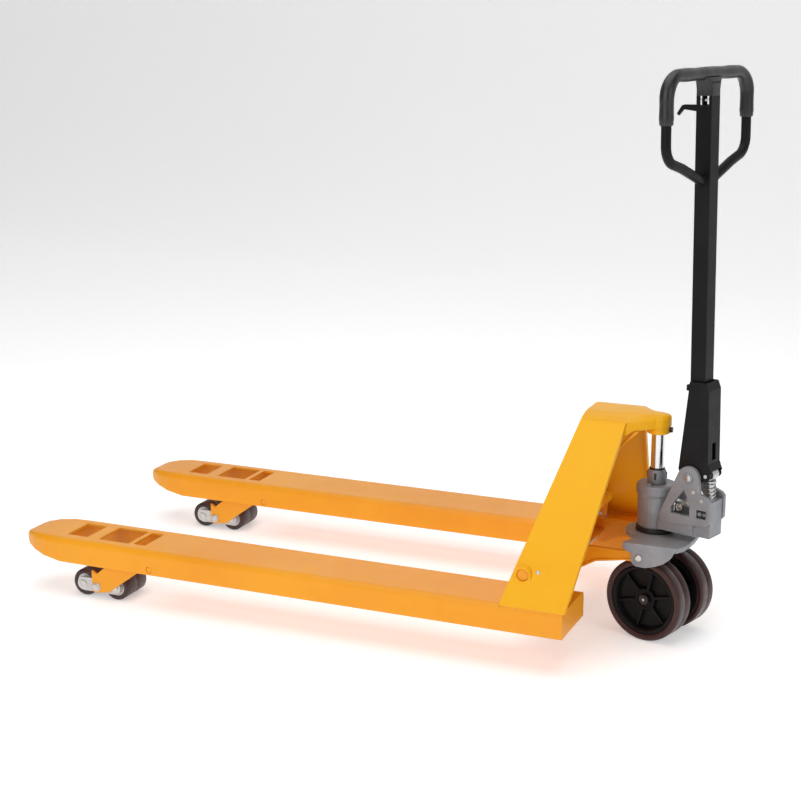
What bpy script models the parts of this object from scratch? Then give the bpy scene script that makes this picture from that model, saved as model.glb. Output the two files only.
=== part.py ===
"""Hand pallet truck, raised part way, steered to one side.

Units are metres, +Z is up, the floor is Z = 0.  The forks point to -X and the
operator stands on the +X side.  "near" is the -Y side, "far" the +Y side.
Every shape is drawn in design coordinates with the ram axis at X = 0 and the
steering straight ahead; the two placing empties turn and shift the shapes.
"""
import math

import bmesh
import bpy
from mathutils import Matrix, Vector

# ---------------------------------------------------------------- dimensions
RAM_X = 0.6251            # ram axis from the middle of the overall length
STEER_REST = -16.0        # steering angle at rest, degrees
HANDLE_LEAN = -1.46       # drawbar lean at rest, degrees

GAP = 0.0003              # running gap between touching parts
FACETS = 0.62             # share of the nominal side count that turned shapes get

# forks
FORK_Y = 0.272            # fork centre line
FORK_HALF = 0.073         # half of the fork width
FORK_TOP = 0.142          # fork top at rest
FORK_BOTTOM = 0.086       # lower edge of the fork sides
FORK_WALL = 0.005
FORK_BEND = 0.012
HEEL_X = -0.095
FORK_TIP_X = -1.400

# load wheels
FRAME_PIVOT = (-1.053, 0.098)
TANDEM_PIVOT = (-1.203, 0.031)
ROLLER_PITCH = 0.083
ROLLER_R = 0.031
ROLLER_HALF = 0.043
ROD_Z = 0.126
ENTRY_AXIS = (-1.352, 0.099)
ENTRY_R = 0.017

# rocker
SHAFT = (-0.194, 0.196)
YOKE_PIN = (-0.005, 0.196)
LEVER_PIN = (-0.194, 0.161)
ARM_Y = (0.088, 0.097)
LUG_Y = (0.0995, 0.111)

# frame upright
PLATE_WALL = 0.005
PLATE_LOW = (0.345, 0.137)
PLATE_HIGH = (0.080, 0.475)
HEAD_BOTTOM = 0.455
SCREW_Z = 0.4495

# pump and steering wheels (steered coordinates)
RAM_R = 0.0143
WHEEL_X = 0.018
WHEEL_R = 0.090
WHEEL_GAP = 0.048
WHEEL_WIDTH = 0.050
AXLE_R = 0.010
PISTON_X = 0.128

# handle (steered coordinates)
TILT = (0.094, 0.366)
TUBE_X = 0.1015
TUBE_HALF = 0.017
TUBE_TOP = 1.1715
LOOP_HALF = 0.162
LOOP_TOP = 1.187
LOOP_R = 0.010
GRIP_R = 0.0148
LEVER_PIVOT = (0.104, 1.118)

# ------------------------------------------------------------------ materials
PAINTS = {}


def paint(name, colour, roughness, metallic):
    """Make one Principled material of its own for a sub-part."""
    mat = bpy.data.materials.new(name)
    mat.use_nodes = True
    shader = mat.node_tree.nodes["Principled BSDF"]
    shader.inputs["Base Color"].default_value = (*colour, 1.0)
    shader.inputs["Roughness"].default_value = roughness
    shader.inputs["Metallic"].default_value = metallic
    mat.diffuse_color = (*colour, 1.0)
    return mat


LOOKS = {
    "yellow": ((0.98, 0.50, 0.03), 0.38, 0.0),
    "grey": ((0.30, 0.30, 0.32), 0.55, 0.25),
    "black": ((0.020, 0.020, 0.022), 0.50, 0.0),
    "rubber": ((0.030, 0.030, 0.032), 0.70, 0.0),
    "tread": ((0.13, 0.035, 0.035), 0.45, 0.0),
    "steel": ((0.62, 0.62, 0.64), 0.30, 1.0),
    "chrome": ((0.80, 0.80, 0.82), 0.10, 1.0),
    "zinc": ((0.70, 0.70, 0.68), 0.35, 0.9),
}

# -------------------------------------------------------------- shape helpers


def to_object(bm, name):
    """Turn a bmesh into a scene object with outward faces."""
    bmesh.ops.recalc_face_normals(bm, faces=bm.faces)
    if bm.calc_volume(signed=True) < 0.0:
        bmesh.ops.reverse_faces(bm, faces=bm.faces)
    mesh = bpy.data.meshes.new(name)
    bm.to_mesh(mesh)
    bm.free()
    obj = bpy.data.objects.new(name, mesh)
    bpy.context.scene.collection.objects.link(obj)
    return obj


def rings_to_object(rings, name, closed=False):
    """Skin a list of equal point rings; cap both ends unless closed."""
    bm = bmesh.new()
    rows = [[bm.verts.new(p) for p in ring] for ring in rings]
    count = len(rows[0])
    last = len(rows) if closed else len(rows) - 1
    for i in range(last):
        a = rows[i]
        b = rows[(i + 1) % len(rows)]
        for j in range(count):
            k = (j + 1) % count
            bm.faces.new((a[j], a[k], b[k], b[j]))
    if not closed:
        bm.faces.new(rows[0])
        bm.faces.new(rows[-1])
    return to_object(bm, name)


def prism(points, low, high, axis="Y", name="shape"):
    """Extrude a flat outline.  Y takes (x, z), X takes (y, z), Z takes (x, y)."""
    def place(a, b, c):
        if axis == "Y":
            return (a, c, b)
        if axis == "X":
            return (c, a, b)
        return (a, b, c)
    rings = [[place(a, b, c) for a, b in points] for c in (low, high)]
    return rings_to_object(rings, name)


def box(low, high, name="box"):
    """Make a box from two corners."""
    outline = [(low[0], low[1]), (high[0], low[1]), (high[0], high[1]), (low[0], high[1])]
    return prism(outline, low[2], high[2], "Z", name)


def lathe(profile, centre, axis="Z", segments=40, name="turned"):
    """Turn a closed (radius, height) outline about an axis through centre."""
    if segments > 8:
        segments = 2 * round(segments * FACETS / 2.0)
    rings = []
    on_axis = min(r for r, _ in profile) < 1e-9
    bm = bmesh.new()
    columns = []
    for i in range(segments):
        t = 2.0 * math.pi * i / segments
        columns.append((math.cos(t), math.sin(t)))
    poles = {}
    for i, (c, s) in enumerate(columns):
        row = []
        for j, (r, h) in enumerate(profile):
            if axis == "Z":
                p = (r * c, r * s, h)
            elif axis == "Y":
                p = (r * c, h, r * s)
            else:
                p = (h, r * c, r * s)
            if on_axis and r < 1e-9:
                if j not in poles:
                    poles[j] = bm.verts.new(Vector(p) + Vector(centre))
                row.append(poles[j])
            else:
                row.append(bm.verts.new(Vector(p) + Vector(centre)))
        rings.append(row)
    count = len(profile)
    for i in range(segments):
        a = rings[i]
        b = rings[(i + 1) % segments]
        for j in range(count):
            k = (j + 1) % count
            corners = [a[j], a[k], b[k], b[j]]
            unique = []
            for v in corners:
                if v not in unique:
                    unique.append(v)
            if len(unique) >= 3:
                bm.faces.new(unique)
    return to_object(bm, name)


def cylinder(centre, radius, low, high, axis="Y", segments=32, edge=0.0, name="cyl"):
    """Solid cylinder between two heights along the axis, with chamfered ends."""
    if edge > 0.0:
        profile = [(0.0, low), (radius - edge, low), (radius, low + edge),
                   (radius, high - edge), (radius - edge, high), (0.0, high)]
    else:
        profile = [(0.0, low), (radius, low), (radius, high), (0.0, high)]
    return lathe(profile, centre, axis, segments, name)


def pin(x, z, radius, low, high, edge=0.0, segments=32):
    """Cylinder along Y at (x, z)."""
    return cylinder((x, 0.0, z), radius, low, high, "Y", segments, edge)


def is_closed(mesh):
    """True where every edge of the mesh has exactly two faces."""
    bm = bmesh.new()
    bm.from_mesh(mesh)
    closed = all(len(edge.link_faces) == 2 for edge in bm.edges)
    bm.free()
    return closed


def baked(obj, other, operation, solver):
    """Mesh of one Boolean result."""
    mod = obj.modifiers.new("cut", "BOOLEAN")
    mod.operation = operation
    mod.solver = solver
    mod.object = other
    bpy.context.view_layer.update()
    graph = bpy.context.evaluated_depsgraph_get()
    mesh = bpy.data.meshes.new_from_object(obj.evaluated_get(graph))
    obj.modifiers.clear()
    return mesh


def boolean(obj, others, operation):
    """Bake a Boolean of obj with each of the others, then remove them."""
    for other in others:
        other.hide_render = True
        other.display_type = "WIRE"
        mesh = baked(obj, other, operation, "EXACT")
        if not is_closed(mesh):
            bpy.data.meshes.remove(mesh)
            mesh = baked(obj, other, operation, "MANIFOLD")
        old = obj.data
        obj.data = mesh
        bpy.data.meshes.remove(old)
        bpy.data.objects.remove(other, do_unlink=True)
    return obj


def cut(obj, *others):
    """Subtract shapes."""
    return boolean(obj, others, "DIFFERENCE")


def join(obj, *others):
    """Weld shapes together."""
    return boolean(obj, others, "UNION")


def mirrored(obj):
    """Copy a shape across the XZ plane."""
    bm = bmesh.new()
    bm.from_mesh(obj.data)
    for v in bm.verts:
        v.co.y = -v.co.y
    return to_object(bm, obj.name)


def arc(cx, cz, radius, start, end, steps):
    """Points on an arc, angles in degrees."""
    steps = max(3, round(steps * FACETS))
    out = []
    for i in range(steps + 1):
        t = math.radians(start + (end - start) * i / steps)
        out.append((cx + radius * math.cos(t), cz + radius * math.sin(t)))
    return out


def slot_outline(a, b, radius, steps=10):
    """Stadium outline around two centres."""
    angle = math.degrees(math.atan2(b[1] - a[1], b[0] - a[0]))
    first = arc(b[0], b[1], radius, angle - 90.0, angle + 90.0, steps)
    second = arc(a[0], a[1], radius, angle + 90.0, angle + 270.0, steps)
    return first + second


def sweep(path, radii, segments=20, name="bar"):
    """Round bar along a path lying in an X = constant plane."""
    rings = []
    for i, p in enumerate(path):
        before = Vector(path[max(i - 1, 0)])
        after = Vector(path[min(i + 1, len(path) - 1)])
        along = (after - before).normalized()
        side = Vector((1.0, 0.0, 0.0))
        other = along.cross(side).normalized()
        ring = []
        for j in range(segments):
            t = 2.0 * math.pi * j / segments
            offset = side * math.cos(t) + other * math.sin(t)
            ring.append(Vector(p) + offset * radii[i])
        rings.append(ring)
    return rings_to_object(rings, name)


# ------------------------------------------------------------ placing helpers
def empty(name, location, turn=0.0, parent=None, tilt=0.0):
    """Placing empty with a turn about Z and a tilt about Y, in degrees."""
    obj = bpy.data.objects.new(name, None)
    bpy.context.scene.collection.objects.link(obj)
    obj.location = location
    obj.rotation_euler = (0.0, math.radians(tilt), math.radians(turn))
    obj.parent = parent
    return obj


def finish(obj, name, look, origin=(0.0, 0.0, 0.0), holder=None, smooth=35.0):
    """Name, colour, origin and parent of one finished sub-part."""
    obj.name = name
    obj.data.name = name
    shift = Vector(origin)
    obj.data.transform(Matrix.Translation(-shift))
    obj.parent = holder
    base = Vector(holder["base"]) if "base" in holder else Vector((0.0, 0.0, 0.0))
    obj.location = shift - base
    obj.data.materials.clear()
    obj.data.materials.append(paint(name, *LOOKS[look]))
    obj.data.shade_smooth()
    obj.data.set_sharp_from_angle(angle=math.radians(smooth))
    return obj


for old_object in list(bpy.data.objects):
    bpy.data.objects.remove(old_object, do_unlink=True)

ROOT = empty("truck", (RAM_X, 0.0, 0.0))
STEER = empty("steered", (0.0, 0.0, 0.0), STEER_REST, ROOT)
HANDLE = empty("handle_hinge", (TILT[0], 0.0, TILT[1]), 0.0, STEER, HANDLE_LEAN)
HANDLE["base"] = (TILT[0], 0.0, TILT[1])

SIDES = (("near", -1.0), ("far", 1.0))


def both(make, name, look, origin=(0.0, 0.0, 0.0)):
    """Build a far-side shape and its near-side twin under the root."""
    far = make()
    near = mirrored(far)
    finish(far, name + "_far", look, origin, ROOT)
    finish(near, name + "_near", look, (origin[0], -origin[1], origin[2]), ROOT)


# ------------------------------------------------------------------ the forks
def fork_section(x, half, low, top, bend):
    """Filled section of the fork with two rounded top edges."""
    left = arc(-half + bend, top - bend, bend, 180.0, 90.0, 5)
    right = arc(half - bend, top - bend, bend, 90.0, 0.0, 5)
    ring = [(-half, low)] + left + right + [(half, low)]
    return [(x, FORK_Y + y, z) for y, z in ring]


def make_fork():
    """Pressed channel with a tapered closed tip, windows and roller lugs."""
    stations = ((HEEL_X, 0.073, 0.086, 0.142), (-1.290, 0.073, 0.086, 0.142),
                (-1.335, 0.070, 0.094, 0.142), (-1.366, 0.060, 0.102, 0.1405),
                (-1.388, 0.046, 0.108, 0.1375), (FORK_TIP_X, 0.034, 0.113, 0.133))
    outer = rings_to_object([fork_section(x, h, b, t, min(FORK_BEND, (t - b) * 0.45))
                             for x, h, b, t in stations], "fork")
    w = FORK_WALL
    inner_stations = ((HEEL_X + 0.02, 0.068, 0.04, 0.137), (-1.290, 0.068, 0.04, 0.137),
                      (-1.335, 0.065, 0.04, 0.137), (-1.360, 0.057, 0.04, 0.1355),
                      (-1.382, 0.042, 0.04, 0.1325))
    inner = rings_to_object([fork_section(x, h, b, t, FORK_BEND - w)
                             for x, h, b, t in inner_stations], "hollow")
    cut(outer, inner)
    windows = ((-1.286, -1.232, 0.042), (-1.201, -1.122, 0.0445), (-1.111, -1.080, 0.042))
    for x0, x1, half in windows:
        cut(outer, box((x0, FORK_Y - half, 0.13), (x1, FORK_Y + half, 0.15)))
    cut(outer, box((-0.236, FORK_Y - 0.014, 0.13), (-0.150, FORK_Y + 0.014, 0.15)))
    for s in (-1.0, 1.0):
        a = FORK_Y + s * 0.0335
        b = FORK_Y + s * 0.0395
        x, z = ENTRY_AXIS
        lug = [(x - 0.016, 0.1345), (x + 0.016, 0.1345)] + arc(x, z, 0.012, 0.0, -180.0, 8)
        join(outer, prism(lug, min(a, b), max(a, b)))
    x, z = ENTRY_AXIS
    cut(outer, pin(x, z, 0.005 + GAP, FORK_Y - 0.041, FORK_Y + 0.041, segments=24))
    fx, fz = FRAME_PIVOT
    cut(outer, pin(fx, fz, 0.0075 + GAP, FORK_Y - 0.09, FORK_Y + 0.09, segments=28))
    heel = box((HEEL_X - 0.005, FORK_Y - 0.070, 0.0865), (HEEL_X - 0.0001, FORK_Y + 0.070, 0.1395))
    join(outer, heel)
    cut(outer, side_plate_blank(GAP))
    return outer


def plate_frame():
    """Along-slope and outward unit vectors of the far side plate."""
    along = Vector((0.0, PLATE_HIGH[0] - PLATE_LOW[0], PLATE_HIGH[1] - PLATE_LOW[1]))
    along.normalize()
    outward = Vector((0.0, along.z, -along.y))
    return along, outward


def plate_y(z):
    """Outer face of the side plate at a height."""
    slope = (PLATE_LOW[0] - PLATE_HIGH[0]) / (PLATE_HIGH[1] - PLATE_LOW[1])
    return PLATE_LOW[0] - (z - PLATE_LOW[1]) * slope


def front_x(z):
    """Front edge of the upright at a height."""
    return -0.232 + (z - 0.137) * 0.2515


def rear_x(z):
    """Rear edge of the upright at a height."""
    return -0.092 + (z - 0.137) * 0.1243


def slab(corners, thickness, grow=0.0):
    """Slab under four outer corners given as (x, z) on the side plate's face."""
    along, outward = plate_frame()
    top = [Vector((x, plate_y(z), z)) + outward * grow for x, z in corners]
    low = [p - outward * (thickness + 2.0 * grow) for p in top]
    return rings_to_object([top, low], "slab")


def side_plate_blank(grow):
    """Inclined plate of the upright before its details."""
    z0 = 0.139 - grow
    z1 = 0.4745
    corners = [(front_x(z0) - grow, z0), (rear_x(z0) + grow, z0), (rear_x(z1), z1),
               (front_x(z1), z1)]
    return slab(corners, PLATE_WALL, grow)


FLANGE = ((-0.0052, -0.0022), (-0.0002, -0.0022), (-0.0002, -0.0104), (-0.0052, -0.0104))


def make_side_plate():
    """Inclined plate with a rear return flange and the rocker bearing bush."""
    plate = side_plate_blank(0.0)
    along, outward = plate_frame()
    ring_a = []
    ring_b = []
    for z in (0.165, 0.452):
        for dx, dn in FLANGE:
            p = Vector((rear_x(z) + dx, plate_y(z), z)) + outward * dn
            (ring_a if z < 0.2 else ring_b).append(p)
    join(plate, rings_to_object([ring_a, ring_b], "flange"))
    x, z = SHAFT
    y = plate_y(z)
    join(plate, pin(x, z, 0.018, y - 0.034, y + 0.006, 0.0015, 36))
    cut(plate, pin(x, z, 0.0125 + GAP, y - 0.06, y + 0.03, 0.0, 36))
    cut(plate, box((-0.3, 0.1, 0.10), (0.0, 0.36, 0.1423 - 0.0033)))
    return plate


both(make_fork, "fork", "yellow")
both(make_side_plate, "side_plate", "yellow")


def make_bulkhead():
    """Sloping plate that closes the upright towards the forks."""
    inset = 0.0070
    zs = (0.1425, 0.452)
    half = [plate_y(z) - inset for z in zs]
    rings = []
    for dx in (0.0002, 0.0042):
        ring = [(-half[0], zs[0]), (half[0], zs[0]), (half[1], zs[1]), (-half[1], zs[1])]
        rings.append([(front_x(z) + dx, y, z) for y, z in ring])
    plate = rings_to_object(rings, "bulkhead")
    rings = []
    for dx in (0.0002, 0.0042):
        ring = [(-0.1985, 0.104), (0.1985, 0.104), (0.1985, 0.150), (-0.1985, 0.150)]
        rings.append([(front_x(z) + dx, y, z) for y, z in ring])
    join(plate, rings_to_object(rings, "skirt"))
    return plate


finish(make_bulkhead(), "bulkhead", "yellow", holder=ROOT)


def head_section(x, skirt, crown, knee, top, low):
    """Section of the head: narrow crown, sloping shoulders, upright skirts."""
    middle = (skirt + crown) / 2.0
    rise = knee + (top - knee) * 0.62
    ring = [(-skirt, low), (-skirt, knee), (-middle, rise), (-crown, top),
            (crown, top), (middle, rise), (skirt, knee), (skirt, low)]
    return [(x, y, z) for y, z in ring]


def make_head():
    """Pressed head over the ram, narrowing to a round nose with a clamp boss."""
    low = HEAD_BOTTOM
    stations = ((-0.1478, 0.0800, 0.034, 0.4740, 0.4845, 0.449),
                (-0.0860, 0.0800, 0.031, 0.4740, 0.4845, 0.449),
                (-0.0480, 0.0800, 0.023, 0.4740, 0.4840, 0.449),
                (-0.0400, 0.0700, 0.020, 0.4738, 0.4839, low),
                (-0.0300, 0.0590, 0.018, 0.4735, 0.4838, low),
                (-0.0120, 0.0400, 0.014, 0.4730, 0.4835, low),
                (0.0000, 0.0285, 0.012, 0.4725, 0.4832, low),
                (0.0130, 0.0225, 0.010, 0.4720, 0.4828, low),
                (0.0220, 0.0140, 0.006, 0.4715, 0.4815, low),
                (0.0262, 0.0050, 0.003, 0.4705, 0.4780, low + 0.002))
    head = rings_to_object([head_section(*station) for station in stations], "head")
    hollow = ((-0.1600, 0.074, 0.031, 0.4700, 0.4785, 0.440),
              (-0.0480, 0.074, 0.020, 0.4700, 0.4780, 0.440),
              (-0.0270, 0.050, 0.015, 0.4690, 0.4775, 0.440))
    cut(head, rings_to_object([head_section(*station) for station in hollow], "hollow"))
    join(head, cylinder((0.0, 0.0, 0.0), 0.0245, 0.4410, 0.4720, "Z", 48, 0.0012))
    cut(head, cylinder((0.0, 0.0, 0.0), RAM_R + GAP, 0.43, 0.4703, "Z", 40))
    cut(head, cylinder((0.0, 0.0, SCREW_Z), 0.004 + GAP, 0.0157, 0.05, "X", 20))
    notch = slab([(-0.30, 0.13), (0.10, 0.13), (0.10, 0.52), (-0.30, 0.52)], PLATE_WALL, GAP)
    keep = box((-0.0480, -0.2, 0.43), (0.10, 0.2, 0.52))
    cut(notch, keep)
    other = mirrored(notch)
    cut(head, notch, other)
    return head


finish(make_head(), "head_bracket", "yellow", holder=ROOT)


def make_gusset():
    """Sloping brace under the head."""
    outline = [(-0.026, 0.4545), (-0.034, 0.4545), (-0.104, 0.384), (-0.104, 0.376)]
    return prism(outline, -0.068, 0.068)


finish(make_gusset(), "head_gusset", "yellow", holder=ROOT)
screw = cylinder((0.0, 0.0, SCREW_Z), 0.004, 0.0162, 0.0253, "X", 20)
join(screw, cylinder((0.0, 0.0, SCREW_Z), 0.0062, 0.0251, 0.0300, "X", 6))
finish(screw, "head_screw", "black", holder=ROOT)


def make_axle():
    """Bearing pin pressed into the side plate bush."""
    y = plate_y(SHAFT[1])
    return pin(SHAFT[0], SHAFT[1], 0.0125, y - 0.052, y + 0.004, 0.001, 36)


def make_frame_pin():
    """Cross pin that carries the load wheel frame."""
    return pin(FRAME_PIVOT[0], FRAME_PIVOT[1], 0.0075, FORK_Y - 0.0722, FORK_Y + 0.0722, 0.001, 28)


def make_entry():
    """Nylon entry roller with its own journals."""
    x, z = ENTRY_AXIS
    r = ENTRY_R
    e = 0.004
    profile = [(0.0, -0.039), (0.005, -0.039), (0.005, -0.0325), (r - e, -0.0325), (r, -0.0285),
               (r, 0.0285), (r - e, 0.0325), (0.005, 0.0325), (0.005, 0.039), (0.0, 0.039)]
    return lathe(profile, (x, FORK_Y, z), "Y", 28)


both(make_axle, "rocker_axle", "steel", (SHAFT[0], 0.0, SHAFT[1]))
both(make_frame_pin, "frame_pin", "steel", (FRAME_PIVOT[0], 0.0, FRAME_PIVOT[1]))
both(make_entry, "entry_roller", "rubber", (ENTRY_AXIS[0], FORK_Y, ENTRY_AXIS[1]))


# ----------------------------------------------------------------- the rocker
def make_rocker():
    """Torsion tube with two arms to the yoke and two levers to the rods."""
    x, z = SHAFT
    tube = pin(x, z, 0.0165, -0.258, 0.258, 0.0, 36)
    arm = [(x - 0.002, z + 0.016), (x + 0.020, z + 0.010), (-0.124, 0.204), (-0.045, 0.203)]
    arm += arc(YOKE_PIN[0] + 0.006, YOKE_PIN[1], 0.0160, 100.0, -80.0, 14)
    arm += [(-0.040, 0.182), (-0.100, 0.172), (-0.138, 0.150), (x + 0.012, z - 0.030),
            (x - 0.008, z - 0.0145)]
    lever = arc(LEVER_PIN[0], LEVER_PIN[1], 0.013, -180.0, 0.0, 10)
    lever += arc(x, z, 0.0165, 0.0, 180.0, 12)
    for s in (-1.0, 1.0):
        a, b = sorted((s * ARM_Y[0], s * ARM_Y[1]))
        join(tube, prism(arm, a, b))
        a, b = sorted((s * 0.254, s * 0.264))
        join(tube, prism(lever, a, b))
        dist = 0.189
        angle = math.atan2(YOKE_PIN[1] - z, YOKE_PIN[0] - x)
        ends = [(x + (dist + d) * math.cos(angle), z + (dist + d) * math.sin(angle))
                for d in (-0.0005, 0.0092)]
        a, b = sorted((s * 0.08, s * 0.105))
        cut(tube, prism(slot_outline(ends[0], ends[1], 0.0085), a, b))
        a, b = sorted((s * 0.25, s * 0.27))
        cut(tube, pin(LEVER_PIN[0], LEVER_PIN[1], 0.006 + GAP, a, b, 0.0, 24))
    web = box((-0.172, -0.089, 0.176), (-0.138, 0.089, 0.183))
    join(tube, web)
    a = plate_y(z) - 0.052 - 0.002
    for s in (-1.0, 1.0):
        c, d = sorted((s * a, s * 0.30))
        cut(tube, pin(x, z, 0.0125 + GAP, c, d, 0.0, 36))
    return tube


finish(make_rocker(), "rocker", "yellow", (SHAFT[0], 0.0, SHAFT[1]), ROOT)


def make_lever_pin():
    """Pin between a rocker lever and the riser of a push rod."""
    return pin(LEVER_PIN[0], LEVER_PIN[1], 0.006, 0.2525, 0.2785, 0.0008, 24)


both(make_lever_pin, "lever_pin", "zinc", (LEVER_PIN[0], 0.0, LEVER_PIN[1]))


def make_yoke():
    """Bearing plate round the pump neck with two hooked side lugs."""
    edge = LUG_Y[1]
    plan = arc(0.0, 0.0, 0.062, 110.0, 250.0, 16)
    right = [(0.074, edge), (0.084, 0.096), (0.091, 0.066), (0.094, 0.030)]
    plan += [(-0.040, -edge)] + [(x, -y) for x, y in right] + right[::-1] + [(-0.040, edge)]
    top = prism(plan, 0.2165, 0.2265, "Z")
    lug = [(-0.040, 0.2262), (-0.040, 0.214), (-0.032, 0.209), (-0.022, 0.205)]
    lug += arc(YOKE_PIN[0], YOKE_PIN[1] - 0.0035, 0.0165, 150.0, 250.0, 8)
    lug += [(0.010, 0.176), (0.030, 0.1815), (0.048, 0.190), (0.063, 0.203), (0.0735, 0.2262)]
    for s in (-1.0, 1.0):
        a, b = sorted((s * LUG_Y[0], s * LUG_Y[1]))
        join(top, prism(lug, a, b))
    join(top, cylinder((0.0, 0.0, 0.0), 0.038, 0.208, 0.2170, "Z", 40))
    cut(top, cylinder((0.0, 0.0, 0.0), 0.0245, 0.19, 0.24, "Z", 40))
    for s in (-1.0, 1.0):
        a, b = sorted((s * 0.09, s * 0.12))
        cut(top, pin(YOKE_PIN[0], YOKE_PIN[1], 0.007 + GAP, a, b, 0.0, 28))
    return top


finish(make_yoke(), "yoke", "grey", holder=ROOT)


def make_yoke_pin():
    """Pin through the yoke lug into the slotted arm."""
    return pin(YOKE_PIN[0], YOKE_PIN[1], 0.007, 0.0865, 0.1138, 0.001, 28)


both(make_yoke_pin, "yoke_pin", "zinc", (YOKE_PIN[0], 0.0, YOKE_PIN[1]))
ring = lathe([(0.0245, 0.2268), (0.0400, 0.2268), (0.0410, 0.2280), (0.0410, 0.2350),
              (0.0400, 0.2362), (0.0245, 0.2362)], (0.0, 0.0, 0.0), "Z", 40)
finish(ring, "thrust_ring", "black", holder=ROOT)


# ------------------------------------------------- push rods and load wheels
def make_push_rod():
    """Round rod with a clevis at the wheel frame and a riser at the lever."""
    rod = cylinder((0.0, FORK_Y, ROD_Z), 0.007, -1.040, -0.205, "X", 20)
    for s in (-1.0, 1.0):
        a, b = sorted((FORK_Y + s * 0.0062, FORK_Y + s * 0.0112))
        cheek = slot_outline((-1.053, ROD_Z - 0.0010), (-1.034, ROD_Z - 0.0010), 0.0100)
        join(rod, prism(cheek, a, b))
    low = (-1.040, FORK_Y - 0.0112, ROD_Z - 0.0075)
    high = (-1.0275, FORK_Y + 0.0112, ROD_Z + 0.0075)
    join(rod, box(low, high))
    riser = [(-0.216, 0.119), (-0.181, 0.119), (-0.181, 0.160)]
    riser += arc(LEVER_PIN[0], LEVER_PIN[1], 0.0125, 0.0, 180.0, 8)
    riser += [(-0.216, 0.140)]
    join(rod, prism(riser, FORK_Y - 0.006, FORK_Y + 0.003))
    low = (LEVER_PIN[0], LEVER_PIN[1] - 0.0002)
    high = (LEVER_PIN[0], LEVER_PIN[1] + 0.0018)
    cut(rod, prism(slot_outline(low, high, 0.0066), FORK_Y - 0.02, FORK_Y + 0.02))
    low = (-1.053, ROD_Z - 0.0023)
    high = (-1.053, ROD_Z + 0.0002)
    cut(rod, prism(slot_outline(low, high, 0.0056), FORK_Y - 0.02, FORK_Y + 0.02))
    return rod


both(make_push_rod, "push_rod", "zinc", (-1.053, FORK_Y, ROD_Z))


def make_wheel_frame():
    """Two deep cheeks on a hub tube, with a lever for the push rod."""
    px, pz = FRAME_PIVOT
    tx, tz = TANDEM_PIVOT
    hub = pin(px, pz, 0.0135, FORK_Y - 0.0665, FORK_Y + 0.0665, 0.0, 28)
    cheek = [(tx - 0.012, 0.024), (tx - 0.012, 0.069), (tx + 0.001, 0.062), (tx + 0.020, 0.078),
             (px - 0.050, 0.110)]
    cheek += arc(px, pz, 0.0165, 90.0, -80.0, 10)
    cheek += [(-1.093, 0.080), (-1.172, 0.022)]
    cheek += arc(tx, tz, 0.0145, -50.0, -140.0, 6)
    for s in (-1.0, 1.0):
        a, b = sorted((FORK_Y + s * 0.0510, FORK_Y + s * 0.0570))
        join(hub, prism(cheek, a, b))
    join(hub, box((-1.112, FORK_Y - 0.052, 0.095), (-1.104, FORK_Y + 0.052, 0.106)))
    lever = arc(px, ROD_Z, 0.0085, 0.0, 180.0, 8) + [(px - 0.012, pz), (px + 0.012, pz)]
    join(hub, prism(lever, FORK_Y - 0.0058, FORK_Y + 0.0058))
    cut(hub, pin(px, ROD_Z, 0.005 + GAP, FORK_Y - 0.02, FORK_Y + 0.02, 0.0, 24))
    cut(hub, pin(px, pz, 0.0075 + GAP, FORK_Y - 0.08, FORK_Y + 0.08, 0.0, 28))
    cut(hub, pin(tx, tz, 0.007 + GAP, FORK_Y - 0.08, FORK_Y + 0.08, 0.0, 28))
    return hub


both(make_wheel_frame, "wheel_frame", "yellow", (FRAME_PIVOT[0], FORK_Y, FRAME_PIVOT[1]))


def make_rod_pin():
    """Pin between the push rod clevis and the wheel frame lever."""
    return pin(-1.053, ROD_Z, 0.005, FORK_Y - 0.0125, FORK_Y + 0.0125, 0.0006, 24)


def make_tandem(offset):
    """Link plate that carries one end of the two roller axles."""
    tx, tz = TANDEM_PIVOT
    a = (tx - ROLLER_PITCH / 2.0, tz)
    b = (tx + ROLLER_PITCH / 2.0, tz)
    plate = prism(slot_outline(a, b, 0.0155, 12), FORK_Y + offset, FORK_Y + offset + 0.005)
    cut(plate, pin(tx, tz, 0.007 + GAP, FORK_Y - 0.08, FORK_Y + 0.08, 0.0, 28))
    for x, z in (a, b):
        cut(plate, pin(x, z, 0.006 + GAP, FORK_Y - 0.08, FORK_Y + 0.08, 0.0, 24))
    return plate


def make_tandem_pin():
    """Long pin through the cheeks and the link plates."""
    return pin(TANDEM_PIVOT[0], TANDEM_PIVOT[1], 0.007, FORK_Y - 0.0620, FORK_Y + 0.0620, 0.001, 28)


def make_roller_axle(x):
    """Axle of one load roller."""
    return pin(x, TANDEM_PIVOT[1], 0.006, FORK_Y - 0.0505, FORK_Y + 0.0505, 0.0008, 24)


def make_roller(x):
    """Load roller: chamfered tread with recessed ends and a bore."""
    h = ROLLER_HALF
    r = ROLLER_R
    half = [(0.006 + GAP, h), (0.0145, h), (0.0145, h - 0.004), (0.020, h - 0.004),
            (0.020, h - 0.001), (r - 0.004, h - 0.001), (r, h - 0.005)]
    profile = [(a, -b) for a, b in half] + half[::-1]
    return lathe(profile, (x, FORK_Y, TANDEM_PIVOT[1]), "Y", 40)


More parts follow.
